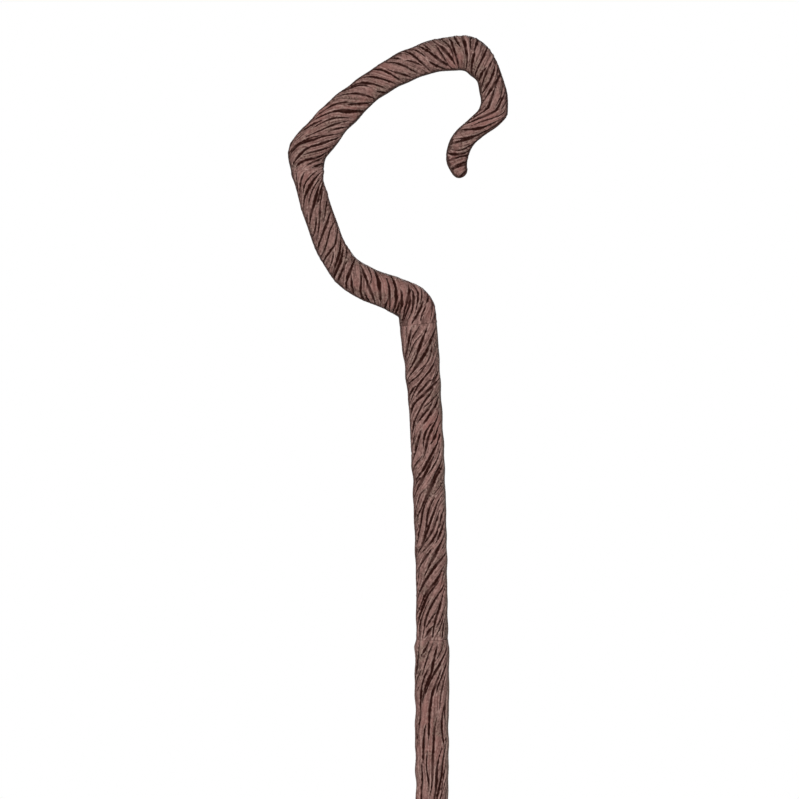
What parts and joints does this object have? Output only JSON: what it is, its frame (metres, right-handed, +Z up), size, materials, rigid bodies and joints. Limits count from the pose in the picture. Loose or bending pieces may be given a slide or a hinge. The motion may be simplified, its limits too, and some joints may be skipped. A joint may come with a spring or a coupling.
{
  "type": "crook-headed walking staff",
  "caption": "Walking staff with an open crook head and bark-like grain; hollow moulded sections join on push-fit couplers and it stands on a single plugged foot.",
  "frame": {"origin": "centre of the foot plug's flat underside", "axes": "+Z up along the lower shaft, +X towards the open side of the crook, +Y away from the viewer of the picture, square to the plane of the crook"},
  "size_m": [0.2373, 0.0412, 1.0005],
  "materials": {
    "bark_brown": "moulded bark grain with dark wash in the grooves, matt",
    "coupler_brown": "smooth moulded",
    "foot_rubber": "matt moulded"
  },
  "bodies": {
    "lower_shaft": {"lower_shaft_front_shell": "bark_brown", "lower_shaft_rear_shell": "bark_brown", "foot_plug": "foot_rubber"},
    "shaft_coupler": {"shaft_coupler": "coupler_brown"},
    "upper_shaft": {"upper_shaft_front_shell": "bark_brown", "upper_shaft_rear_shell": "bark_brown"},
    "neck_coupler": {"neck_coupler": "coupler_brown"},
    "bow": {"bow_front_shell": "bark_brown", "bow_rear_shell": "bark_brown"},
    "elbow_coupler": {"elbow_coupler": "coupler_brown"},
    "hook": {"hook_front_shell": "bark_brown", "hook_rear_shell": "bark_brown"}
  },
  "joints": [
    {"name": "shaft_pull", "type": "slide", "parent": "lower_shaft", "child": "shaft_coupler", "axis": [0, 0, 1], "range_m": [0, 0.035]},
    {"name": "shaft_twist", "type": "hinge", "parent": "shaft_coupler", "child": "upper_shaft", "pos_m": [0, 0, 0.3483], "axis": [0, 0, 1], "continuous": true},
    {"name": "neck_pull", "type": "slide", "parent": "upper_shaft", "child": "neck_coupler", "axis": [-0.1045, 0, 0.9945], "range_m": [0, 0.035]},
    {"name": "neck_twist", "type": "hinge", "parent": "neck_coupler", "child": "bow", "pos_m": [-0.01481, 0, 0.68814], "axis": [-0.1045, 0, 0.9945], "continuous": true},
    {"name": "elbow_pull", "type": "slide", "parent": "bow", "child": "elbow_coupler", "axis": [-0.0698, 0, 0.9976], "range_m": [0, 0.022]},
    {"name": "elbow_twist", "type": "hinge", "parent": "elbow_coupler", "child": "hook", "pos_m": [-0.13443, 0, 0.85363], "axis": [-0.0698, 0, 0.9976], "continuous": true}
  ]
}
